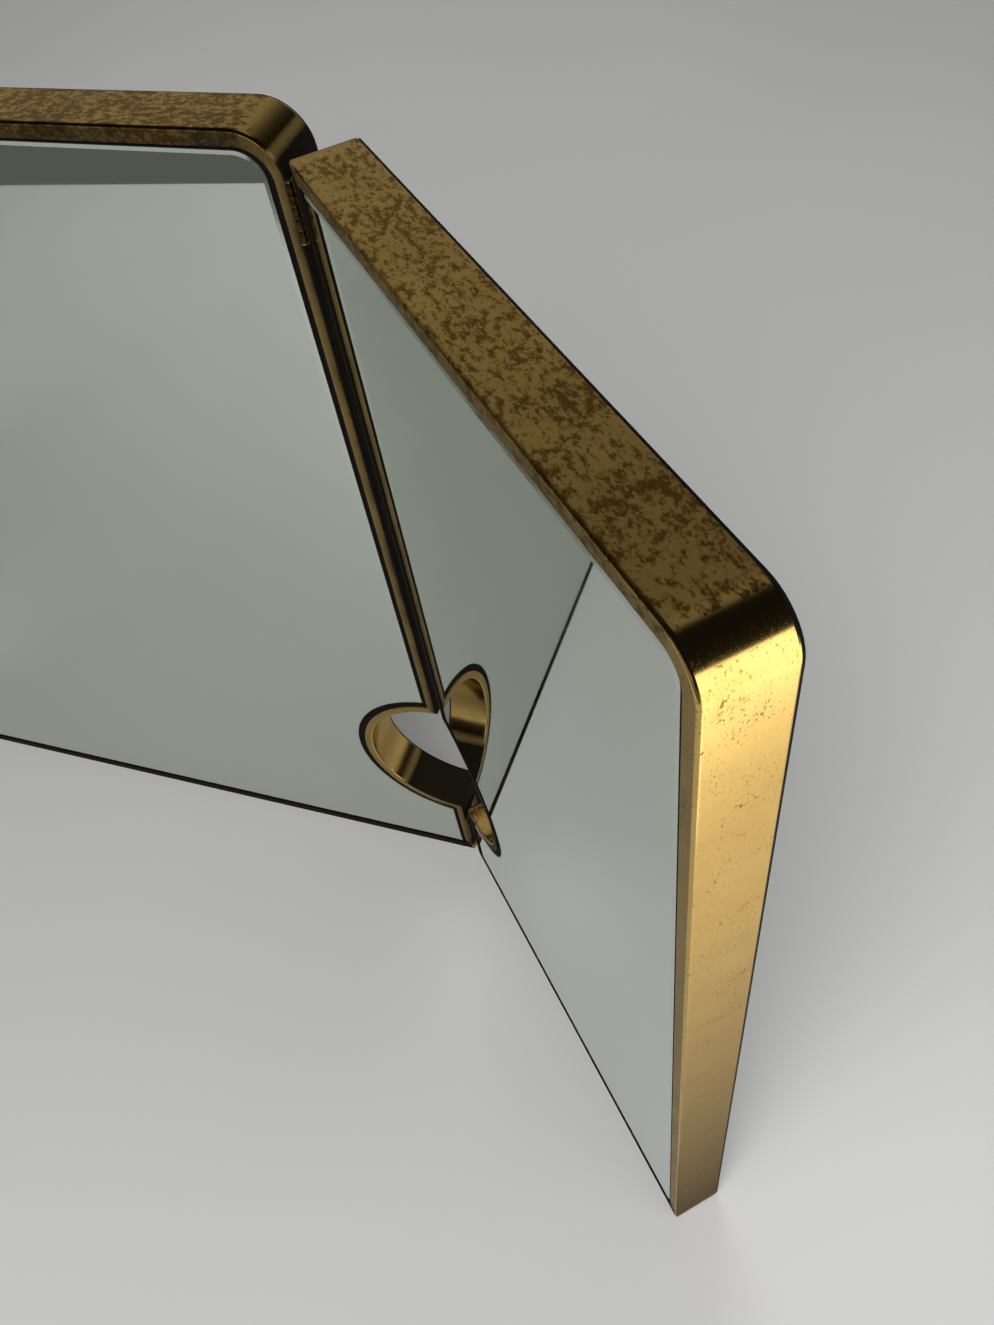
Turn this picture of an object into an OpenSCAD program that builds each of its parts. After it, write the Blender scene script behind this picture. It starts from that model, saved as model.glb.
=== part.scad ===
// Trifold vanity mirror: a square centre mirror and two half-width wings in brass bands, hinged
// side to side. Millimetres. X runs across, the glass faces -Y, Z is up, the base is at z = 0.
// The wings stand in the resting pose, turned forward by wing_angle from flat.

/* [Panels] */
// Height of the centre panel over its brass band
height = 400; // [320:1:480]
// Width of the centre panel over its brass band
centre_w = 400; // [320:1:480]
// How far the tops of the wings lie below the top of the centre panel
wing_drop = 7.5; // [0:0.5:15]
// Space left between the two wings when both are folded shut
meeting_gap = 6; // [2:0.5:12]
// Depth of the brass band from front to back
depth = 20; // [17:0.5:26]
// Outside radius of the centre panel's two top corners
centre_corner_r = 15; // [12:0.5:30]
// Outside radius of each wing's outer top corner
wing_corner_r = 12; // [12:0.5:30]
// Turn of each wing forward from flat, in degrees
wing_angle = 46.5; // [0:0.5:90]

/* [Brass band] */
// Thickness of the brass sheet
band_t = 0.9; // [0.8:0.1:1.5]
// Width of the front lip along the top, the bottom and the outer side
lip_w = 5; // [4:0.1:6]
// Width of the front lip along the hinged sides and round their notches
hinge_lip_w = 4; // [3:0.1:6]
// Outside radius of the bend between side band and lip
bend_r = 1; // [0.8:0.1:2]

/* [Hand hole] */
// Radius of the half-round notch that each hinged side has
notch_r = 41; // [30:0.5:44]
// Height of the notch's centre above the base
notch_z = 88; // [85:0.5:110]

/* [Glass and filling] */
// Thickness of the mirror glass
glass_t = 3; // [2:0.5:4]
// How far the face of the glass lies behind the front of the lip
glass_set = 0.3; // [0.1:0.1:0.8]
// Dark gap between lip and glass along the top, the bottom and the outer side
glass_gap = 1.2; // [0.8:0.1:1.6]
// Dark gap between lip and glass along the hinged sides
hinge_side_gap = 2.4; // [0.8:0.1:3]
// Dark gap between lip and glass round the notches
notch_gap = 3.5; // [0.8:0.1:4]
// Width of the bevel ground round the face of the glass
bevel_w = 1.1; // [1:0.1:2]
// Depth of that bevel at the edge of the glass
bevel_h = 0.25; // [0.2:0.05:0.6]
// Thickness of the black card tray behind the glass
card_t = 1.2; // [0.6:0.1:2]
// Space between the glass and the rim of the card tray round it
glass_clear = 0.2; // [0.1:0.05:0.4]
// Thickness of the black felt over the back
felt_t = 0.8; // [0.5:0.1:1.5]
// Space between the tray or the fibreboard core and the band
core_clear = 0.3; // [0.2:0.1:1]
// How far the felt stays inside the outline of the band
felt_inset = 0.3; // [0:0.1:1]

/* [Hinges] */
// Gap between the side bands of two neighbouring panels when flat
panel_gap = 2; // [1.9:0.1:2.6]
// Height of one butt hinge
hinge_h = 18; // [16:1:22]
// Depth of a hinge leaf behind the front of the band
leaf_d = 14; // [12:0.5:16]
// Thickness of a hinge leaf
leaf_t = 0.6; // [0.5:0.05:0.65]
// Diameter of the hinge pin
pin_d = 1.2; // [1:0.1:1.4]
// Radial clearance of the pin in the knuckles
pin_clear = 0.05; // [0.02:0.01:0.08]
// Wall of a knuckle around the pin's bore
knuckle_wall = 0.55; // [0.4:0.05:0.6]
// Free space between pieces that turn past each other
turn_clear = 0.3; // [0.3:0.05:0.4]
// How far the upper hinge starts below the top of the wing
hinge_top_inset = 6; // [3:0.5:30]
// Height of the lower hinge's bottom end above the base
lower_hinge_z = 18; // [4:0.5:18]
// Diameter of a hinge screw's shank
screw_d = 1.6; // [1.2:0.1:1.8]
// Diameter of a hinge screw's countersunk head
screw_head_d = 2.8; // [2.4:0.1:3]
// Length of a hinge screw from the face of the head
screw_l = 8; // [5:0.5:12]
// Radial clearance of the screws in the leaf, band and core
screw_clear = 0.05; // [0.02:0.01:0.1]

/* [Hidden] */
$fn = 96;
right_angle = 90;
over = 1;                                    // how far cutters run past what they cut

wing_h = height - wing_drop;
wing_w = (centre_w - meeting_gap) / 2;
glass_back = glass_set + glass_t;            // depths behind the front plane
core_y = glass_back + card_t;
core_t = depth - core_y;
// Outlines inward from the band's outside: along the plain sides, the hinged sides, the notches.
lip_in = [lip_w, hinge_lip_w, hinge_lip_w];
glass_in = lip_in + [glass_gap, hinge_side_gap, notch_gap];
core_in = band_t + core_clear;
bevel_over = 0.2;

knuckle_r = pin_d / 2 + pin_clear + knuckle_wall;
axis_front = knuckle_r;                      // hinge axis in front of the front plane
axis_x = centre_w / 2 + panel_gap / 2;
axis_y = -depth / 2 - axis_front;
knuckle_count = 5;
knuckle_h = (hinge_h - (knuckle_count - 1) * turn_clear) / knuckle_count;
knuckle_step = knuckle_h + turn_clear;
pin_head_h = 0.6;
pin_head_r = knuckle_r - 0.2;
leaf_corner_r = 1;
upper_hinge_z = wing_h - hinge_top_inset - hinge_h;

screw_count = 3;
screw_y = axis_front + (core_y + leaf_d) / 2;  // from the hinge axis, over the core board
screw_cone_h = (screw_head_d - screw_d) / 2;   // a 90 degree countersink
screw_rim_h = leaf_t / 3 - screw_clear;
screw_slot_w = 0.35;
screw_slot_d = 0.3;
screw_tip_h = 1.6;

// ---- outlines and placing -------------------------------------------------------------------

// Stands a plan shape (x across, y up, z from the front plane back) upright.
module upright() {
    rotate([right_angle, 0, 0]) mirror([0, 0, 1]) children();
}

// The same inset along plain sides, hinged sides and notches.
function all_round(inset) = [inset, inset, inset];

// Plan of a panel drawn in by three insets: plain sides, hinged sides and notches. The left edge
// is a hinged side. Where both is true the right edge is one too, and the top left corner is
// round like the top right one.
module plan(w, h, r, insets, both) {
    inset = insets[0];
    inset_h = insets[1];
    left = inset_h + (both ? r - inset : 0);
    right = w - (both ? inset_h : inset);
    round_x = right - (r - inset);
    difference() {
        union() {
            translate([inset_h, inset]) square([right - inset_h, h - r - inset]);
            translate([left, inset]) square([round_x - left, h - 2 * inset]);
            translate([round_x, h - r]) circle(r - inset);
            if (both) translate([left, h - r]) circle(r - inset);
        }
        translate([-panel_gap / 2, notch_z]) circle(notch_r + insets[2]);
        if (both) translate([w + panel_gap / 2, notch_z]) circle(notch_r + insets[2]);
    }
}

// A flat layer of a panel between two depths.
module layer(w, h, r, insets, both, front, thick) {
    translate([0, 0, front]) linear_extrude(thick) plan(w, h, r, insets, both);
}

// Carries a cutter's section straight along +x between two stations. In the section x is the
// distance inward from the edge and y the depth behind the face.
module along(from, to) {
    translate([from, 0, 0]) rotate([right_angle, 0, right_angle]) linear_extrude(to - from) children();
}

// Carries the section up a hinged side or an outer side that lies on x = 0.
module up_side(top) {
    translate([0, top, 0]) rotate([0, 0, -right_angle]) along(0, top + over) children();
}

// Carries the section round a top right corner of radius r, its centre at the origin.
module round_corner(r) {
    rotate_extrude(angle = right_angle) translate([r, 0]) mirror([1, 0]) children();
}

// Carries the section round a notch of the hinged side at x = 0.
module round_notch(r) {
    translate([-panel_gap / 2, notch_z, 0]) rotate_extrude() translate([r, 0]) children();
}

// Carries a cutter's section round every edge of a plan.
module round_plan(w, h, r, insets, both) {
    inset = insets[0];
    inset_h = insets[1];
    left = inset_h + (both ? r - inset : 0);
    right = w - (both ? inset_h : inset);
    round_x = right - (r - inset);
    translate([0, inset, 0]) along(-over, w + over) children();
    translate([inset_h, 0, 0]) up_side(both ? h - r : h + over) children();
    translate([right, 0, 0]) mirror([1, 0, 0]) up_side(h - r) children();
    translate([0, h - inset, 0]) mirror([0, 1, 0]) along(both ? left : -over, round_x) children();
    translate([round_x, h - r, 0]) round_corner(r - inset) children();
    round_notch(notch_r + insets[2]) children();
    if (both) {
        translate([left, h - r, 0]) mirror([1, 0, 0]) round_corner(r - inset) children();
        translate([w, 0, 0]) mirror([1, 0, 0]) round_notch(notch_r + insets[2]) children();
    }
}

module place_centre() {
    translate([-centre_w / 2, -depth / 2, 0]) children();
}

// Places pieces drawn about the right hinge axis on the right wing in its resting pose.
module swing() {
    translate([axis_x, axis_y, 0]) rotate([0, 0, -wing_angle]) children();
}

module place_right() {
    swing() translate([panel_gap / 2, axis_front, 0]) children();
}

module left_side() {
    mirror([1, 0, 0]) children();
}

// ---- pieces of one panel ----------------------------------------------------------------------

// Cuts an outside edge to the bend's radius.
module bend_section() {
    difference() {
        translate([-over, -over]) square(bend_r + over);
        translate([bend_r, bend_r]) circle(bend_r);
    }
}

// Cuts the bevel off the face of the glass.
module bevel_section() {
    polygon([
        [-bevel_over, -bevel_over],
        [bevel_w * (1 + bevel_over / bevel_h), -bevel_over],
        [-bevel_over, bevel_h * (1 + bevel_over / bevel_w)]
    ]);
}

// One sheet that goes round the panel: a side wall and a front lip with a rounded bend between.
module band(w, h, r, both) {
    difference() {
        layer(w, h, r, all_round(0), both, 0, depth);
        layer(w, h, r, all_round(band_t), both, band_t, depth);
        layer(w, h, r, lip_in, both, -over, 2 * over + band_t);
        round_plan(w, h, r, all_round(0), both) bend_section();
    }
}

// Mirror glass in the opening of the lip, its face bevelled all round.
module glass(w, h, r, both) {
    translate([0, 0, glass_set]) difference() {
        layer(w, h, r, glass_in, both, 0, glass_t);
        round_plan(w, h, r, glass_in, both) bevel_section();
    }
}

// Card tray: a sheet behind the glass with a rim that fills the space between glass and lip.
module card(w, h, r, both) {
    difference() {
        layer(w, h, r, all_round(core_in), both, band_t, core_y - band_t);
        layer(w, h, r, glass_in - all_round(glass_clear), both, 0, glass_back);
    }
}

module core(w, h, r, both) {
    layer(w, h, r, all_round(core_in), both, core_y, core_t);
}

module felt(w, h, r, both) {
    layer(w, h, r, all_round(felt_inset), both, depth, felt_t);
}

// ---- hinges, drawn about their axis, the right-hand wing's leaf toward +x --------------------

// Knuckles of one leaf: the fixed leaf has the odd ones, the wing leaf the even ones.
module knuckles(first) {
    for (i = [first : 2 : knuckle_count - 1])
        translate([0, 0, i * knuckle_step]) cylinder(r = knuckle_r, h = knuckle_h);
}

// Clears the other leaf's knuckles out of this leaf's plate.
module knuckle_relief(first) {
    for (i = [first : 2 : knuckle_count - 1])
        translate([0, 0, i * knuckle_step - turn_clear])
            cylinder(r = knuckle_r + turn_clear, h = knuckle_h + 2 * turn_clear);
}

// Flat part of a leaf against the band on the +x side, its two rear corners rounded.
module leaf_plate() {
    leaf_end = axis_front + leaf_d;
    translate([panel_gap / 2, 0, 0]) rotate([0, -right_angle, 0]) linear_extrude(leaf_t) {
        square([hinge_h, leaf_end - leaf_corner_r]);
        translate([leaf_corner_r, 0]) square([hinge_h - 2 * leaf_corner_r, leaf_end]);
        translate([leaf_corner_r, leaf_end - leaf_corner_r]) circle(leaf_corner_r);
        translate([hinge_h - leaf_corner_r, leaf_end - leaf_corner_r]) circle(leaf_corner_r);
    }
}

// Puts a piece at every screw of a leaf, its z axis pointing into the panel on the +x side.
module at_screws() {
    for (i = [0 : screw_count - 1])
        translate([panel_gap / 2 - leaf_t, screw_y, hinge_h * (2 * i + 1) / (2 * screw_count)])
            rotate([0, right_angle, 0]) children();
}

// Countersunk screw, the face of its head at z = 0. A radial growth makes it the cutter.
module screw_form(grow, length) {
    cylinder(d = screw_head_d + 2 * grow, h = screw_rim_h);
    translate([0, 0, screw_rim_h])
        cylinder(d1 = screw_head_d + 2 * grow, d2 = screw_d + 2 * grow, h = screw_cone_h);
    cylinder(d = screw_d + 2 * grow, h = length);
}

module screw() {
    difference() {
        union() {
            screw_form(0, screw_l - screw_tip_h);
            translate([0, 0, screw_l - screw_tip_h]) cylinder(d1 = screw_d, d2 = 0, h = screw_tip_h);
        }
        translate([-screw_head_d, -screw_slot_w / 2, -over])
            cube([2 * screw_head_d, screw_slot_w, screw_slot_d + over]);
    }
}

// Every screw hole a panel's hinged side needs, upper and lower hinge together.
module screw_holes() {
    for (z = [lower_hinge_z, upper_hinge_z])
        translate([0, 0, z]) at_screws() {
            screw_form(screw_clear, screw_l + over);
            translate([0, 0, -over]) cylinder(d = screw_head_d + 2 * screw_clear, h = over + screw_rim_h);
        }
}

module wing_leaf() {
    difference() {
        union() {
            leaf_plate();
            knuckles(1);
        }
        knuckle_relief(0);
        translate([0, 0, -over]) cylinder(d = pin_d + 2 * pin_clear, h = hinge_h + 2 * over);
        at_screws() {
            screw_form(screw_clear, screw_l);
            translate([0, 0, -over]) cylinder(d = screw_head_d + 2 * screw_clear, h = over + screw_rim_h);
        }
    }
}

module fixed_leaf() {
    mirror([1, 0, 0]) difference() {
        union() {
            leaf_plate();
            knuckles(0);
        }
        knuckle_relief(1);
        translate([0, 0, -over]) cylinder(d = pin_d + 2 * pin_clear, h = hinge_h + 2 * over);
        at_screws() {
            screw_form(screw_clear, screw_l);
            translate([0, 0, -over]) cylinder(d = screw_head_d + 2 * screw_clear, h = over + screw_rim_h);
        }
    }
}

// Pin with a low flat head over each end knuckle.
module pin() {
    cylinder(d = pin_d, h = hinge_h);
    translate([0, 0, -pin_head_h]) cylinder(r = pin_head_r, h = pin_head_h);
    translate([0, 0, hinge_h]) cylinder(r = pin_head_r, h = pin_head_h);
}

// ---- panels as they stand on the right and in the middle --------------------------------------

module right_holes() {
    translate([-panel_gap / 2, -axis_front, 0]) screw_holes();
}

module centre_holes() {
    translate([centre_w + panel_gap / 2, -axis_front, 0]) mirror([1, 0, 0]) screw_holes();
    translate([-panel_gap / 2, -axis_front, 0]) screw_holes();
}

module wing_frame_piece() {
    place_right() difference() {
        upright() band(wing_w, wing_h, wing_corner_r, false);
        right_holes();
    }
}

module wing_glass_piece() {
    place_right() upright() glass(wing_w, wing_h, wing_corner_r, false);
}

module wing_card_piece() {
    place_right() upright() card(wing_w, wing_h, wing_corner_r, false);
}

module wing_core_piece() {
    place_right() difference() {
        upright() core(wing_w, wing_h, wing_corner_r, false);
        right_holes();
    }
}

module wing_felt_piece() {
    place_right() upright() felt(wing_w, wing_h, wing_corner_r, false);
}

module at_fixed(z) {
    translate([axis_x, axis_y, z]) children();
}

module at_wing(z) {
    swing() translate([0, 0, z]) children();
}

module fixed_screws_piece(z) {
    at_fixed(z) mirror([1, 0, 0]) at_screws() screw();
}

// ---- nodes ------------------------------------------------------------------------------------

module centre_frame() {
    color("#8a6a34") place_centre() difference() {
        upright() band(centre_w, height, centre_corner_r, true);
        centre_holes();
    }
}

module centre_glass() {
    color("#9fb0a4") place_centre() upright() glass(centre_w, height, centre_corner_r, true);
}

module centre_card() {
    color("#1d1c1b") place_centre() upright() card(centre_w, height, centre_corner_r, true);
}

module centre_core() {
    color("#7c6040") place_centre() difference() {
        upright() core(centre_w, height, centre_corner_r, true);
        centre_holes();
    }
}

module centre_felt() {
    color("#141312") place_centre() upright() felt(centre_w, height, centre_corner_r, true);
}

module right_frame() { color("#8a6a34") wing_frame_piece(); }
module right_glass() { color("#9fb0a4") wing_glass_piece(); }
module right_card() { color("#1d1c1b") wing_card_piece(); }
module right_core() { color("#7c6040") wing_core_piece(); }
module right_felt() { color("#141312") wing_felt_piece(); }

module left_frame() { color("#8a6a34") left_side() wing_frame_piece(); }
module left_glass() { color("#9fb0a4") left_side() wing_glass_piece(); }
module left_card() { color("#1d1c1b") left_side() wing_card_piece(); }
module left_core() { color("#7c6040") left_side() wing_core_piece(); }
module left_felt() { color("#141312") left_side() wing_felt_piece(); }

module right_upper_fixed_leaf() { color("#9a7438") at_fixed(upper_hinge_z) fixed_leaf(); }
module right_upper_wing_leaf() { color("#9a7438") at_wing(upper_hinge_z) wing_leaf(); }
module right_upper_pin() { color("#b08a48") at_fixed(upper_hinge_z) pin(); }
module right_upper_fixed_screws() { color("#b08a48") fixed_screws_piece(upper_hinge_z); }
module right_upper_wing_screws() { color("#b08a48") at_wing(upper_hinge_z) at_screws() screw(); }

module right_lower_fixed_leaf() { color("#9a7438") at_fixed(lower_hinge_z) fixed_leaf(); }
module right_lower_wing_leaf() { color("#9a7438") at_wing(lower_hinge_z) wing_leaf(); }
module right_lower_pin() { color("#b08a48") at_fixed(lower_hinge_z) pin(); }
module right_lower_fixed_screws() { color("#b08a48") fixed_screws_piece(lower_hinge_z); }
module right_lower_wing_screws() { color("#b08a48") at_wing(lower_hinge_z) at_screws() screw(); }

module left_upper_fixed_leaf() { left_side() right_upper_fixed_leaf(); }
module left_upper_wing_leaf() { left_side() right_upper_wing_leaf(); }
module left_upper_pin() { left_side() right_upper_pin(); }
module left_upper_fixed_screws() { left_side() right_upper_fixed_screws(); }
module left_upper_wing_screws() { left_side() right_upper_wing_screws(); }

module left_lower_fixed_leaf() { left_side() right_lower_fixed_leaf(); }
module left_lower_wing_leaf() { left_side() right_lower_wing_leaf(); }
module left_lower_pin() { left_side() right_lower_pin(); }
module left_lower_fixed_screws() { left_side() right_lower_fixed_screws(); }
module left_lower_wing_screws() { left_side() right_lower_wing_screws(); }

centre_frame();
centre_glass();
centre_card();
centre_core();
centre_felt();
left_frame();
left_glass();
left_card();
left_core();
left_felt();
right_frame();
right_glass();
right_card();
right_core();
right_felt();
left_upper_fixed_leaf();
left_upper_wing_leaf();
left_upper_pin();
left_upper_fixed_screws();
left_upper_wing_screws();
left_lower_fixed_leaf();
left_lower_wing_leaf();
left_lower_pin();
left_lower_fixed_screws();
left_lower_wing_screws();
right_upper_fixed_leaf();
right_upper_wing_leaf();
right_upper_pin();
right_upper_fixed_screws();
right_upper_wing_screws();
right_lower_fixed_leaf();
right_lower_wing_leaf();
right_lower_pin();
right_lower_fixed_screws();
right_lower_wing_screws();
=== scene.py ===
"""Trifold vanity mirror, dressed for the studio: brass bands, bevelled mirrors, felt backs.

Lengths in the tables are millimetres in a panel's own frame: s runs across from the hinged side,
y runs back from the front plane and z runs up. The model itself is in metres.
"""
import math

import bpy
import numpy as np
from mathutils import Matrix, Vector


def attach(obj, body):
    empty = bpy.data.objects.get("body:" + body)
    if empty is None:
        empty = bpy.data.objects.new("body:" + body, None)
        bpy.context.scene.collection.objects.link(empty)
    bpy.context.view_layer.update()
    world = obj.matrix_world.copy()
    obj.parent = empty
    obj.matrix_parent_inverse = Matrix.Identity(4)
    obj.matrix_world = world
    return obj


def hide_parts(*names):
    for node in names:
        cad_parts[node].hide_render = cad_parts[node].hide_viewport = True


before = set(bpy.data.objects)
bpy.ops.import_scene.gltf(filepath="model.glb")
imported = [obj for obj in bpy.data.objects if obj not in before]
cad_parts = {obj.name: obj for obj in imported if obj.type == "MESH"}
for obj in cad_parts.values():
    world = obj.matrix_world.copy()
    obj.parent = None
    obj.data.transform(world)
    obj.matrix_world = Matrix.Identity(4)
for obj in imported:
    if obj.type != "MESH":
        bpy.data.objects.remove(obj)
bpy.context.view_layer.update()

MM = 0.001

# ---- sizes of the model, as the solids have them ---------------------------------------------

DEPTH = 20.0                      # front plane to back
BAND_T = 0.9                      # brass sheet
LIP_W = 5.0                       # lip on plain sides
HINGE_LIP_W = 4.0                 # lip on hinged sides and round the notches
BEND_R = 1.0                      # outside of the bend between wall and lip
NOTCH_R = 41.0
NOTCH_Z = 88.0                    # height of the notch's centre
PANEL_GAP = 2.0                   # between two bands at a hinge
GLASS_T = 3.0
GLASS_SET = 0.3                   # glass behind the front plane
GLASS_IN = LIP_W + 1.2            # glass inside the edge on plain sides
GLASS_IN_H = HINGE_LIP_W + 2.4    # the same on hinged sides
GLASS_IN_N = HINGE_LIP_W + 3.5    # and round the notches
BEVEL_W = 1.1
BEVEL_H = 0.25
AXIS_FRONT = 1.2                  # hinge axis in front of the front plane
WING_TURN = math.radians(46.5)

# Width, height, corner radius, whether both sides are hinged, and the brass's wear and painted
# shade:
# tarnish on top, then grime with painted shade on the lip, painted shade on the notch's lip, at the
# notch's foot, and on the hinged lip, where it falls by hinge_fall for each millimetre from the
# bend.
CENTRE = {
    "w": 400.0, "h": 400.0, "r": 15.0, "both": True,
    "tarnish": 1.25, "lip": 0.62, "notch_lip": 0.38, "foot": 1.0, "hinge_lip": 0.66,
    "hinge_fall": 0.05,
}
WING = {
    "w": 197.0, "h": 392.5, "r": 12.0, "both": False,
    "tarnish": 1.0, "lip": 0.45, "notch_lip": 0.8, "foot": 0.0, "hinge_lip": 1.0,
    "hinge_fall": 0.0,
}
AXIS = (CENTRE["w"] / 2 + PANEL_GAP / 2, -DEPTH / 2 - AXIS_FRONT)

# Stations along an outline.
PLAIN_SIDE, CORNER, ABOVE_NOTCH, NOTCH, BELOW_NOTCH = 36, 30, 32, 56, 6

LEAST_TARNISH = 0.2               # on walls that look sideways
LOOKS_UP = (0.945, 0.995)         # share of the normal that points up: tarnish starts, is full
STEEP = (0.75, 0.95)              # share of the path that runs upright: painted shade on hinged sides starts, is full
NOTCH_FOOT = (26, 31)             # depth below the notch's centre: painted shade at the foot starts, is full


# ---- outlines and profiles --------------------------------------------------------------------

def at(s, z):
    """Points from their two coordinates, numbers or arrays."""
    return np.stack(np.broadcast_arrays(s, z), -1)


def run(start, end, count):
    """Stations on a straight line from start to end, the end itself left to the next run."""
    share = np.linspace(0, 1, count, endpoint=False)[:, None, None]
    return start + (end - start) * share


def bend(centre, radius, first, last, count):
    """Stations on an arc: centre plus radius times the cosine and sine of an even run of angles."""
    share = np.linspace(0, 1, count, endpoint=False)[:, None]
    angle = first + (last - first) * share
    return centre + np.stack([radius * np.cos(angle), radius * np.sin(angle)], -1)


def hinged_side(inset, inset_n, top, bottom):
    """A hinged side from its top end down to its bottom one. The line s = inset is broken where it
    meets the notch, a circle of radius notch plus inset_n about a centre half the panel gap outside
    the edge: there the cosine of the angle is (inset + half gap) / (radius + inset_n)."""
    radius = NOTCH_R + inset_n
    meet = np.arccos((inset + PANEL_GAP / 2) / radius)
    rise = radius * np.sin(meet)
    return [
        run(at(inset, top), at(inset, NOTCH_Z + rise), ABOVE_NOTCH),
        bend(at(-PANEL_GAP / 2, NOTCH_Z), radius, meet, -meet, NOTCH),
        run(at(inset, NOTCH_Z - rise), at(inset, bottom), BELOW_NOTCH),
    ]


def outline(panel, inset, inset_h, inset_n):
    """Closed outlines of a panel, one for each set of insets, walked from the base's hinged end
    outward, up, back over the top and down the hinged side: an array of stations by insets by
    (s, z). A hinged side lies inset_h inside the panel's edge and its notch inset_n outside the
    notch's circle. Every other side lies inset inside."""
    w, h, both = panel["w"], panel["h"], panel["both"]
    turn = panel["r"] - inset
    far = w - (inset_h if both else inset)
    near_turn = inset_h + turn if both else inset_h
    turn_z = h - panel["r"]
    top = h - inset
    parts = [run(at(inset_h, inset), at(far, inset), PLAIN_SIDE)]
    side = hinged_side(inset_h, inset_n, turn_z if both else top, inset)
    if both:
        # the same side, mirrored and walked upward
        upward = np.concatenate(side + [at(inset_h, inset)[None]])[:0:-1]
        parts.append(at(w - upward[..., 0], upward[..., 1]))
    else:
        parts.append(run(at(far, inset), at(far, turn_z), PLAIN_SIDE))
    parts.append(bend(at(far - turn, turn_z), turn, 0, math.pi / 2, CORNER))
    parts.append(run(at(far - turn, top), at(near_turn, top), PLAIN_SIDE))
    if both:
        parts.append(bend(at(near_turn, turn_z), turn, math.pi / 2, math.pi, CORNER))
    return np.concatenate(parts + side)


def band_profile():
    """Closed section of the brass sheet as (inset, depth): up the outside, round the bend, across
    the lip, round its cut edge and back inside, with every edge broken by a small arc. Two points
    a short hold from each arc keep the flats flat in shading."""
    edge, hold = 0.22, 0.3
    quarter = np.linspace(0, math.pi / 2, 7)

    def arc(centre, radius, start, angles):
        return np.stack([centre[0] + radius * np.cos(start + angles),
                         centre[1] + radius * np.sin(start + angles)], -1)

    inner_r = BEND_R - BAND_T
    return np.concatenate([
        arc((edge, DEPTH - edge), edge, math.pi / 2, quarter[::3]),
        [(0, DEPTH - edge - hold), (0, BEND_R + hold)],
        arc((BEND_R, BEND_R), BEND_R, math.pi, quarter),
        [(BEND_R + hold, 0), (LIP_W - edge - hold, 0)],
        arc((LIP_W - edge, edge), edge, -math.pi / 2, quarter[::2]),
        arc((LIP_W - edge, BAND_T - edge), edge, 0, quarter[::3]),
        arc((BEND_R, BEND_R), inner_r, -math.pi / 2, -quarter[::2]),
        arc((BAND_T - edge, DEPTH - edge), edge, 0, quarter[::3]),
    ])


# ---- making pieces ----------------------------------------------------------------------------

def place(points, where):
    """Panel frame to model frame. The centre panel is shifted by half its width. A wing is shifted
    to the hinge axis, turned about it and, on the left, mirrored in x."""
    s, y, z = points[..., 0], points[..., 1], points[..., 2]
    if where == "centre":
        x, y = s - CENTRE["w"] / 2, y - DEPTH / 2
    else:
        across, back = s + PANEL_GAP / 2, y + AXIS_FRONT
        cos, sin = math.cos(WING_TURN), math.sin(WING_TURN)
        x = AXIS[0] + across * cos + back * sin
        y = AXIS[1] - across * sin + back * cos
        x = -x if where == "left" else x
    return np.stack([x, y, z], -1) * MM


def make_piece(name, points, faces, material, sharp=25):
    """Puts points and faces into a mesh object, smooth but for edges sharper than the angle given
    in degrees."""
    mesh = bpy.data.meshes.new(name)
    mesh.from_pydata(points.tolist(), [], faces)
    mesh.update()
    mesh.shade_smooth()
    mesh.set_sharp_from_angle(angle=math.radians(sharp))
    mesh.materials.append(material)
    obj = bpy.data.objects.new(name, mesh)
    bpy.context.scene.collection.objects.link(obj)
    return obj


def ring_faces(rows, columns, closed, flip):
    """Quads between neighbouring stations, which close into a ring, and neighbouring points of the
    profile, closed or open. A mirrored piece has them flipped, so that they still face outward."""
    row = np.arange(rows)
    column = np.arange(columns if closed else columns - 1)
    a, b = np.meshgrid(row, column, indexing="ij")
    after, beside = (a + 1) % rows, (b + 1) % columns
    quads = np.stack([a * columns + b, after * columns + b, after * columns + beside,
                      a * columns + beside], -1).reshape(-1, 4)
    return quads[:, ::-1] if flip else quads


def add_map(obj, quads, along, across):
    """Adds the piece's own map in metres, u along the path and v round the profile, and closes the
    last quads of each ring with the full length instead of zero."""
    layer = obj.data.uv_layers.new(name="sheet")
    rows, columns = len(along) - 1, len(across) - 1
    row, column = quads // columns, quads % columns
    last_row = row.max(1, keepdims=True) == rows - 1
    last_column = column.max(1, keepdims=True) == columns - 1
    row = np.where((row == 0) & last_row, rows, row)
    column = np.where((column == 0) & last_column, columns, column)
    layer.data.foreach_set("uv", np.stack([along[row], across[column]], -1).ravel())


def lengths(path):
    """Distance walked along a closed path of points, with the full length at the end."""
    step = np.linalg.norm(np.roll(path, -1, 0) - path, axis=-1)
    return np.concatenate([[0], np.cumsum(step)]) * MM


def climb(value, low, high):
    """0 up to low, 1 from high on, and even between them."""
    return np.clip((value - low) / (high - low), 0, 1)


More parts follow.
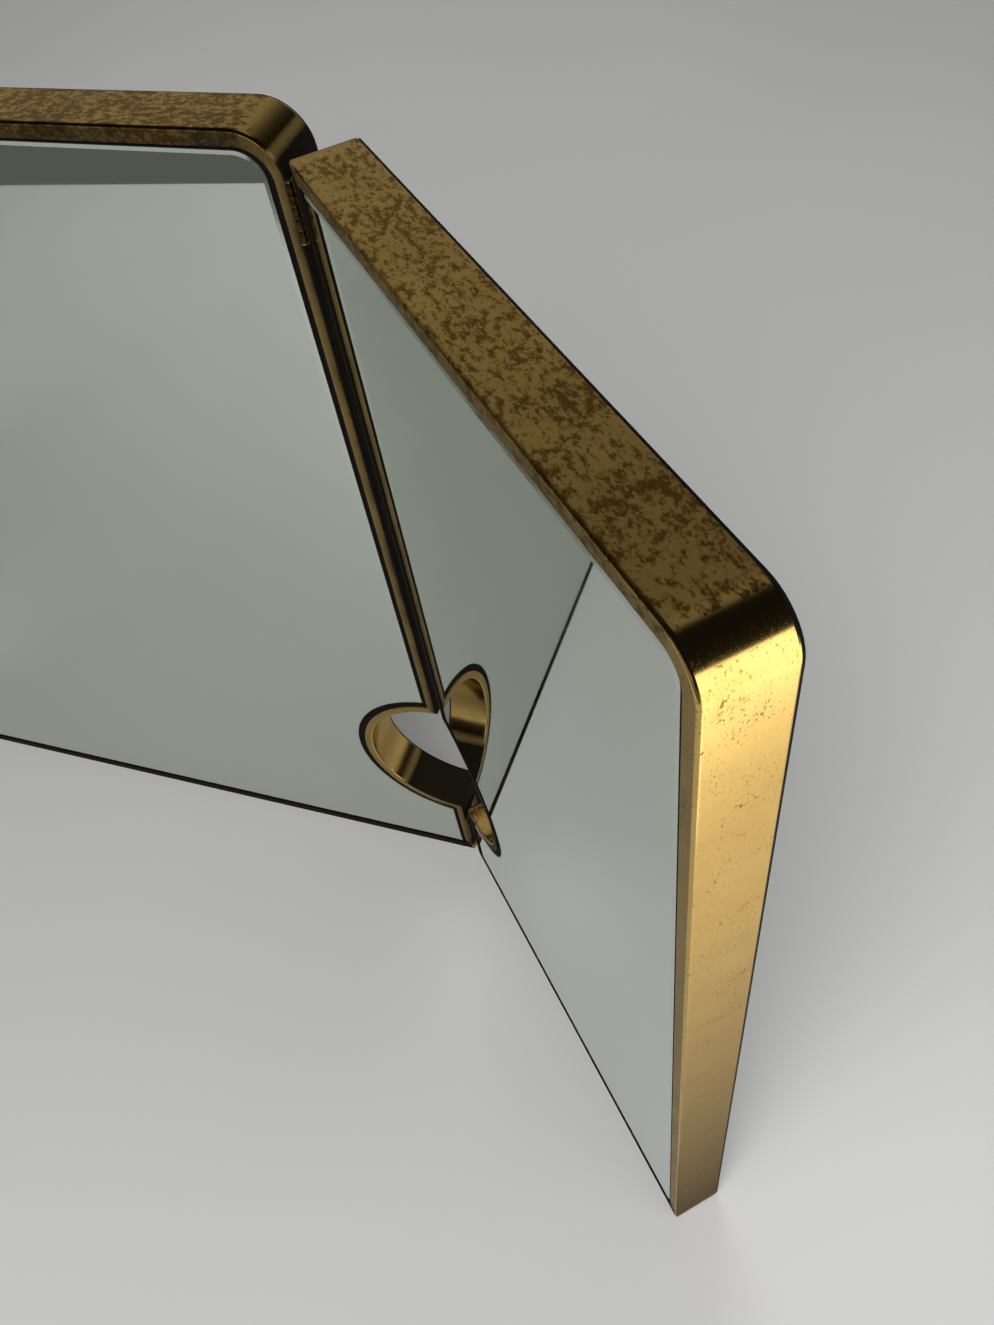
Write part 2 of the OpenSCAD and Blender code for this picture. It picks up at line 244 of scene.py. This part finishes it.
def band_wear_and_shade(panel, grid, profile, outer):
    """Tarnish, and grime with painted shade, at each point of a band. Tarnish is full where the
    sheet looks up. Grime and painted shade lie on the lips, thickest by the table; painted shade
    lies round the notches, at the foot of the centre panel's notches and on the hinged sides, where
    it grows in over the round corner."""
    walk = np.roll(outer, -1, 0) - np.roll(outer, 1, 0)
    walk /= np.linalg.norm(walk, axis=-1)[:, None]
    up = -walk[:, :1] * np.ones(len(profile))
    tarnish = LEAST_TARNISH + (panel["tarnish"] - LEAST_TARNISH) * climb(up, *LOOKS_UP)
    on_lip = (profile[:, 0] > BAND_T) & (profile[:, 1] < BAND_T)
    near = grid[..., 0]
    if panel["both"]:
        near = np.minimum(near, panel["w"] - near)
    below = NOTCH_Z - grid[..., 2]
    lip_reach = LIP_W + 1
    # grime and painted shade on every lip
    grime_and_shade = np.where(on_lip, panel["lip"], 0.0) * np.ones((len(grid), 1))
    # lips by the table fully dark: painted shade, where they face the floor in their own shadow
    grime_and_shade = np.where(on_lip & (grid[..., 2] < LIP_W + 0.1), 1.0, grime_and_shade)
    # painted shade on the notches' lips and at the foot of the centre panel's notches
    in_notch = np.hypot(near + PANEL_GAP / 2, below) < NOTCH_R + lip_reach
    by_notch = np.where(on_lip, panel["notch_lip"], panel["foot"] * climb(below, *NOTCH_FOOT))
    grime_and_shade = np.where(in_notch, by_notch, grime_and_shade)
    # painted shade on the hinged sides, which look into the dark gap between the panels
    hinged = (near < lip_reach) * climb(np.abs(walk[:, 1]), *STEEP)[:, None]
    on_hinged_lip = panel["hinge_lip"] - panel["hinge_fall"] * (profile[:, 0] - BEND_R)
    grime_and_shade += (np.where(on_lip, on_hinged_lip, 1.0) - grime_and_shade) * hinged
    return {"tarnish": tarnish, "grime_and_shade": grime_and_shade}


def make_band(name, panel, where):
    """The brass band: the profile carried along the panel's outline, mitred at square corners. On
    hinged sides and notches the lip is the narrower one."""
    profile = band_profile()
    across = profile[:, 0]
    across_h = np.where(across > BEND_R + 1, across - LIP_W + HINGE_LIP_W, across)
    path = outline(panel, across, across_h, across_h)
    depth = np.broadcast_to(profile[:, 1], path.shape[:2])
    grid = np.stack([path[..., 0], depth, path[..., 1]], -1)
    quads = ring_faces(*grid.shape[:2], True, where == "left")
    band = make_piece(name, place(grid, where).reshape(-1, 3), quads.tolist(), brass)
    outer = path[:, 0]
    add_map(band, quads, lengths(outer), lengths(profile))
    for label, value in band_wear_and_shade(panel, grid, profile, outer).items():
        layer = band.data.attributes.new(label, "FLOAT", "POINT")
        layer.data.foreach_set("value", value.ravel())
    return band


def make_glass(name, panel, where):
    """The mirror: bevel, edge and back as rings of the outline, closed by one flat face each."""
    inset = np.array([BEVEL_W, 0, 0])
    depth = np.array([0, BEVEL_H, GLASS_T]) + GLASS_SET
    path = outline(panel, GLASS_IN + inset, GLASS_IN_H + inset, GLASS_IN_N + inset)
    grid = np.stack([path[..., 0], np.broadcast_to(depth, path.shape[:2]), path[..., 1]], -1)
    rows, columns = grid.shape[:2]
    mirrored = where == "left"
    quads = ring_faces(rows, columns, False, not mirrored)
    front = np.arange(rows) * columns
    back = front[::-1] + columns - 1
    caps = [front[::-1], back[::-1]] if mirrored else [front, back]
    faces = quads.tolist() + [cap.tolist() for cap in caps]
    glass = make_piece(name, place(grid, where).reshape(-1, 3), faces, silvered, sharp=3)
    glass.data.materials.append(bevelled)
    glass.data.materials.append(ground_edge)
    slot = np.full(len(faces), 2, np.int32)
    slot[0:len(quads):columns - 1] = 1
    slot[-2] = 0
    glass.data.polygons.foreach_set("material_index", slot)
    return glass


# ---- shader helpers ---------------------------------------------------------------------------

def colour(code):
    """sRGB hex to linear: the low part is a straight line, the rest a power of 2.4."""
    values = [int(code[i:i + 2], 16) / 255 for i in (1, 3, 5)]
    return [v / 12.92 if v <= 0.04045 else ((v + 0.055) / 1.055) ** 2.4 for v in values] + [1.0]


def new_material(name):
    """An empty node material and its tree."""
    material = bpy.data.materials.new(name)
    material.use_nodes = True
    tree = material.node_tree
    tree.nodes.clear()
    return material, tree


def add(tree, kind, inputs=None, **settings):
    """Adds a shader node, sets its properties, then sets or links its inputs."""
    node = tree.nodes.new("ShaderNode" + kind)
    for key, value in settings.items():
        setattr(node, key, value)
    for key, value in (inputs or {}).items():
        if isinstance(value, bpy.types.NodeSocket):
            tree.links.new(value, node.inputs[key])
        else:
            node.inputs[key].default_value = value
    return node


def own_place(tree):
    """The place on the object, in metres."""
    return add(tree, "TexCoord").outputs["Object"]


def noise(tree, place_at, scale, detail, roughness, **more):
    """A noise from 0 to 1, of scale spots to the metre, its finer octaves weighed by roughness."""
    inputs = {"Vector": place_at, "Scale": scale, "Detail": detail, "Roughness": roughness, **more}
    return add(tree, "TexNoise", inputs).outputs["Fac"]


def ramp(tree, value, low, high, least=0.0, most=1.0, kind="LINEAR"):
    """The value's climb from least, at low, to most, at high."""
    inputs = {"Value": value, "From Min": low, "From Max": high, "To Min": least, "To Max": most}
    return add(tree, "MapRange", inputs, interpolation_type=kind).outputs[0]


def blend(tree, share, first, second):
    """The colour a share of the way from the first to the second, each a socket or a hex code."""
    first, second = (colour(c) if isinstance(c, str) else c for c in (first, second))
    return add(tree, "Mix", {0: share, 6: first, 7: second}, data_type="RGBA").outputs[2]


def between(tree, share, first, second):
    """The number a share of the way from the first to the second."""
    return add(tree, "Mix", {0: share, 2: first, 3: second}).outputs[0]


def scaled(tree, value, factor, rest):
    """The value times the factor, plus the rest."""
    inputs = {0: value, 1: factor, 2: rest}
    return add(tree, "Math", inputs, operation="MULTIPLY_ADD").outputs[0]


def relief(tree, height, strength, distance=0.0001):
    """The normal of a surface with that height, the distance in metres."""
    inputs = {"Height": height, "Strength": strength, "Distance": distance}
    return add(tree, "Bump", inputs).outputs[0]


def surface(tree, inputs):
    """Ends a material with its shader and output."""
    shader = add(tree, "BsdfPrincipled", inputs)
    add(tree, "OutputMaterial", {"Surface": shader.outputs[0]})


# ---- materials --------------------------------------------------------------------------------

def rolled_brass():
    """Rolled brass sheet, worn and never relacquered. Where it looks up the eye gets a dull brown
    film, stained by spots of 1 to 3 mm in loose clusters. Elsewhere it is a warm mirror with a
    fine grain along the strip and a few specks. Grime, and painted shade by the table, round the
    notches and on the hinged sides, make it dark and matt."""
    material, tree = new_material("rolled_brass_tarnished")
    place_at = own_place(tree)
    sheet = add(tree, "UVMap", uv_map="sheet").outputs[0]
    tarnish = add(tree, "Attribute", attribute_name="tarnish").outputs["Fac"]
    # grime on the lips, and painted shade on the bottom lips, the notches and the hinged sides
    grime_and_shade = add(tree, "Attribute", attribute_name="grime_and_shade").outputs["Fac"]
    # spots of 2 mm and of 1 mm, drawn out along the strip, crowded in clusters 9 mm across
    drawn_at = add(tree, "Mapping", {"Vector": sheet, "Scale": (0.62, 1, 1)}).outputs[0]
    large = noise(tree, drawn_at, 540, 2, 0.5)
    small = noise(tree, drawn_at, 1500, 4, 0.7)
    cluster = noise(tree, place_at, 90, 3, 0.6)
    crowding = 0.28
    crowd = scaled(tree, cluster, crowding, between(tree, 0.5, large, small))
    stains = ramp(tree, scaled(tree, tarnish, 0.14, crowd), 0.74, 0.86, kind="SMOOTHSTEP")
    specks = ramp(tree, scaled(tree, cluster, crowding, small), 0.725, 0.8, most=0.85)
    spots = add(tree, "Math", {0: stains, 1: specks}, operation="MAXIMUM").outputs[0]
    # slow change of tone over 15 to 40 mm, and fine grain along the strip, 0.25 mm wide
    tone = noise(tree, place_at, 55, 4, 0.6)
    patchy = ramp(tree, tone, 0.3, 0.65, 0.82, 1.03)
    grime_and_shade = add(tree, "Math", {0: grime_and_shade, 1: patchy}, operation="MULTIPLY",
                use_clamp=True).outputs[0]
    grain_at = add(tree, "Mapping", {"Vector": sheet, "Scale": (60, 4000, 1)}).outputs[0]
    grain = noise(tree, grain_at, 1, 3, 0.6)
    clean = blend(tree, tone, "#c29f5a", "#dabb74")
    film = blend(tree, tone, "#a0834a", "#b99d5a")
    browned = blend(tree, spots, blend(tree, tarnish, clean, film), "#6f5220")
    polish = ramp(tree, grain, 0.3, 0.7, 0.11, 0.17)
    dull = between(tree, spots, between(tree, tarnish, polish, 0.26), 0.36)
    height = scaled(tree, spots, -0.4, between(tree, tarnish, grain, 0.5))
    # grime and painted shade turn the base to a near black #1a160f and take out the metal and shine
    surface(tree, {
        "Base Color": blend(tree, ramp(tree, grime_and_shade, 0.0, 0.7), browned, "#1a160f"),
        "Metallic": ramp(tree, grime_and_shade, 0.0, 1.0, 1.0, 0.05),
        "Roughness": between(tree, grime_and_shade, dull, 0.75), "Specular IOR Level": 0.1,
        "Specular Tint": colour("#faf0dc"), "Normal": relief(tree, height, 0.1)})
    return material


def silvered_glass():
    """Silvered float glass. The eye gets a clear image with the grey-green cast of the glass and a
    faint haze of dust."""
    material, tree = new_material("silvered_float_glass")
    haze = noise(tree, own_place(tree), 9, 4, 0.6)
    surface(tree, {
        "Base Color": blend(tree, haze, "#c2c9bf", "#cbd1c7"), "Metallic": 1.0,
        "Roughness": ramp(tree, haze, 0.3, 0.75, 0.004, 0.03)})
    return material


def bevelled_glass():
    """Silvered glass with a ground and part polished bevel. The eye gets a soft pale line."""
    material, tree = new_material("silvered_glass_bevel")
    grit = noise(tree, own_place(tree), 700, 3, 0.6)
    surface(tree, {
        "Base Color": blend(tree, grit, "#c2c8c1", "#c8cdc6"), "Metallic": 1.0,
        "Roughness": ramp(tree, grit, 0.3, 0.7, 0.12, 0.15)})
    return material


def ground_glass_edge():
    """Ground edge of plate glass. The eye gets a deep bottle green, dull and finely pitted."""
    material, tree = new_material("ground_plate_glass_edge")
    grit = noise(tree, own_place(tree), 2500, 2, 0.6)
    surface(tree, {
        "Base Color": blend(tree, grit, "#16201a", "#33443a"), "Roughness": 0.35, "IOR": 1.52,
        "Normal": relief(tree, grit, 0.3)})
    return material


def black_card():
    """Black packing card. The eye gets a dead matt dark with short paper fibres."""
    material, tree = new_material("black_packing_card")
    fibre = noise(tree, own_place(tree), 1200, 3, 0.6)
    surface(tree, {
        "Base Color": blend(tree, fibre, "#080706", "#161412"), "Roughness": 0.9, "IOR": 1.3,
        "Normal": relief(tree, fibre, 0.3)})
    return material


def fibreboard():
    """Pressed fibreboard. The eye gets a brown mottle of short fibres, quite matt."""
    material, tree = new_material("pressed_fibreboard")
    fibre = noise(tree, own_place(tree), 500, 5, 0.7)
    surface(tree, {
        "Base Color": blend(tree, fibre, "#5d4529", "#93744b"), "Roughness": 0.85, "IOR": 1.45,
        "Normal": relief(tree, fibre, 0.4, 0.0002)})
    return material


def black_felt():
    """Pressed wool felt, dyed black. The eye gets a soft dark nap with a pale sheen at low angles,
    rubbed patches and short lint. The fibres are drawn 0.6 mm thick, coarse enough to show."""
    material, tree = new_material("black_wool_felt")
    place_at = own_place(tree)
    nap = noise(tree, place_at, 900, 4, 0.7, Distortion=0.6)
    rub = noise(tree, place_at, 18, 3, 0.55)
    share = ramp(tree, scaled(tree, rub, 0.5, nap), 0.55, 1.0)
    surface(tree, {
        "Base Color": blend(tree, share, "#050504", "#100f0e"), "Roughness": 0.95, "IOR": 1.25,
        "Sheen Weight": 0.03, "Sheen Roughness": 0.5, "Normal": relief(tree, nap, 0.6, 0.0004)})
    return material


def small_brass(name, pale, dark, low, high):
    """Small brass fittings, stamped, drawn or turned. The eye gets a warm metal, browned by
    patches 1 mm across, its roughness from low to high."""
    material, tree = new_material(name)
    patch = noise(tree, own_place(tree), 700, 4, 0.6)
    surface(tree, {
        "Base Color": blend(tree, ramp(tree, patch, 0.4, 0.62), pale, dark), "Metallic": 1.0,
        "Roughness": ramp(tree, patch, 0.35, 0.65, low, high),
        "Normal": relief(tree, patch, 0.15)})
    return material


brass = rolled_brass()
silvered = silvered_glass()
bevelled = bevelled_glass()
ground_edge = ground_glass_edge()
card = black_card()
board = fibreboard()
felt = black_felt()
# leaves and knuckles far darker than the other brass: aged brass, and painted shade for the dark
# gap between the panels where they sit
leaf_brass = small_brass("stamped_brass_leaf", "#6b5329", "#3d2f1a", 0.45, 0.6)
pin_wire = small_brass("drawn_brass_wire", "#e0b765", "#8a6530", 0.18, 0.4)
screw_metal = small_brass("turned_brass_screw", "#d9b062", "#6b4c24", 0.2, 0.45)


# ---- pieces -----------------------------------------------------------------------------------

PANELS = {
    "centre": (CENTRE, "centre"),
    "left": (WING, "left_wing"),
    "right": (WING, "right_wing"),
}
for side, (panel, body) in PANELS.items():
    band = make_band(side + "_brass_band", panel, side)
    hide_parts(side + "_frame")
    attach(band, body)
    mirror = make_glass(side + "_bevelled_mirror", panel, side)
    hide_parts(side + "_glass")
    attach(mirror, body)

FINISH = {
    "card": card, "core": board, "felt": felt, "leaf": leaf_brass, "pin": pin_wire,
    "screws": screw_metal, "frame": brass, "glass": silvered,
}
for name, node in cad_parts.items():
    finish = FINISH[name.split("_")[-1]]
    node.data.materials.clear()
    node.data.materials.append(finish)


# ---- studio -----------------------------------------------------------------------------------

def paper_floor():
    """Matt cartridge paper. The eye gets a plain pale grey with a barely seen unevenness."""
    material, tree = new_material("matt_cartridge_paper")
    tooth = noise(tree, own_place(tree), 3, 2, 0.5)
    surface(tree, {"Base Color": blend(tree, tooth, "#cfcfce", "#d7d7d6"), "Roughness": 0.85})
    return material


def glowing(name, code, strength):
    """A studio card that gives off light of its own, which the metal and the mirrors show. The
    strength is a number, or a function that builds it in the material's tree."""
    material, tree = new_material(name)
    strength = strength(tree) if callable(strength) else strength
    light = add(tree, "Emission", {"Color": colour(code), "Strength": strength})
    add(tree, "OutputMaterial", {"Surface": light.outputs[0]})
    return material


def away_from_wing(tree):
    """Brightness that grows away from the wing's foot in two steps: painted shadow of the wing on
    the paper by its foot, then a painted pool of window light farther out.
    """
    away = add(tree, "VectorMath", {0: own_place(tree), 1: (0.688, -0.725, 0)},
               operation="DOT_PRODUCT").outputs["Value"]
    # painted shadow of the wing, lifting over its first 115 mm, then painted window light beyond
    near = ramp(tree, away, 0.345, 0.46, 0.13, 1.0)
    far = ramp(tree, away, 0.505, 0.565, 0.0, 1.6)
    return add(tree, "Math", {0: near, 1: far}, operation="ADD").outputs[0]


def make_sheet(name, corner, side_a, side_b, material, only_reflected=False):
    """A flat sheet: corner plus shares of two sides, on an even grid."""
    count = 9
    share = np.linspace(0, 1, count)
    a, b = np.meshgrid(share, share, indexing="ij")
    points = np.array(corner) + a[..., None] * np.array(side_a) + b[..., None] * np.array(side_b)
    first = (np.arange(count - 1)[:, None] * count + np.arange(count - 1)).ravel()
    quads = np.stack([first, first + count, first + count + 1, first + 1], -1)
    sheet = make_piece(name, points.reshape(-1, 3), quads.tolist(), material)
    if only_reflected:
        sheet.visible_camera = False
        sheet.visible_diffuse = False
        sheet.visible_shadow = False
        sheet.visible_transmission = False
    return sheet


def make_lamp(name, place_at, towards, size, power):
    """A soft lamp: a flat panel that looks from one point towards another, not seen in mirrors."""
    lamp = bpy.data.lights.new(name, "AREA")
    lamp.shape = "RECTANGLE"
    lamp.size, lamp.size_y = size
    lamp.energy = power
    obj = bpy.data.objects.new(name, lamp)
    obj.location = place_at
    look = Vector(towards) - Vector(place_at)
    obj.rotation_euler = look.to_track_quat("-Z", "Y").to_euler()
    obj.visible_glossy = False
    bpy.context.scene.collection.objects.link(obj)
    return obj


def glow_towards(tree, towards, direction, low, high, least, most):
    """Brightness that climbs as the way looked in nears a direction."""
    share = add(tree, "VectorMath", {0: towards, 1: direction}, operation="DOT_PRODUCT")
    return ramp(tree, share.outputs["Value"], low, high, least, most, kind="SMOOTHSTEP")


def make_world():
    """A dark room with a grey glow low down behind and to the left, a grey patch high up behind,
    and a pale backdrop where the camera looks past the floor."""
    world = bpy.data.worlds.new("studio")
    world.use_nodes = True
    tree = world.node_tree
    tree.nodes.clear()
    seen = add(tree, "LightPath").outputs["Is Camera Ray"]
    towards = add(tree, "TexCoord").outputs["Generated"]
    low_glow = glow_towards(tree, towards, (-0.507, 0.862, 0), 0.48, 0.9, 0.01, 0.45)
    high_patch = glow_towards(tree, towards, (0.03, 0.5, 0.865), 0.965, 0.995, 0.0, 0.42)
    level = add(tree, "Math", {0: low_glow, 1: high_patch}, operation="ADD").outputs[0]
    room = add(tree, "Background", {"Color": colour("#fbf8f2"), "Strength": level})
    backdrop = add(tree, "Background", {"Color": colour("#c4c4c4"), "Strength": 1.0})
    mix = add(tree, "MixShader", {0: seen, 1: room.outputs[0], 2: backdrop.outputs[0]})
    add(tree, "OutputWorld", {"Surface": mix.outputs[0]})
    bpy.context.scene.world = world


def make_camera():
    """The photograph's standpoint: above and in front of the right wing, looking down."""
    lens = bpy.data.cameras.new("camera")
    lens.sensor_fit = "VERTICAL"
    lens.sensor_height = 36
    lens.lens = 29.187
    lens.shift_y = -0.04766
    lens.clip_start = 0.01
    camera = bpy.data.objects.new("camera", lens)
    camera.location = (0.352351, -0.251450, 0.526334)
    camera.rotation_euler = [math.radians(a) for a in (40.5211, 6.6914, 17.2637)]
    bpy.context.scene.collection.objects.link(camera)
    bpy.context.scene.camera = camera


make_camera()
make_world()
make_sheet("floor", (-3.5, -3.5, 0), (7, 0, 0), (0, 7, 0), paper_floor())
# glowing sheets seen only in reflections: painted reflections of a grey table beyond the paper, a
# pale wall in front, the paper on the right and a bright window on the right
make_sheet("table_beyond_paper", (-2.5, -1.6, 0.001), (5, -0.518, 0), (0, 1.168, 0),
           glowing("glowing_grey_table", "#75766f", 0.8), True)
make_sheet("pale_card_front", (-5, -2.6, 0.12), (5, 0, 0), (0, 0, 0.5),
           glowing("glowing_grey_wall", "#c9cbc8", 1.0), True)
make_sheet("pale_card_right", (0.323, -0.168, 0.002), (0.962, -1.015, 0), (0.653, 0.62, 0),
           glowing("pale_card", "#fffaf0", away_from_wing), True)
make_sheet("window_right_card", (1.285, -1.183, 0.002), (0.653, 0.62, 0), (0, 0, 0.9),
           glowing("window_glow", "#fffdf6", 2.7), True)
make_lamp("window_right", (1.75, -0.45, 0.55), (0.2, -0.2, 0.35), (1.5, 1.1), 9)
make_lamp("soft_front", (0.25, -0.9, 1.3), (0.2, -0.2, 0.0), (1.0, 1.0), 20)
make_lamp("soft_behind", (-0.5, 1.5, 1.9), (0.1, 0.2, 0.0), (1.4, 1.4), 14)
bpy.context.scene.view_settings.view_transform = "Standard"
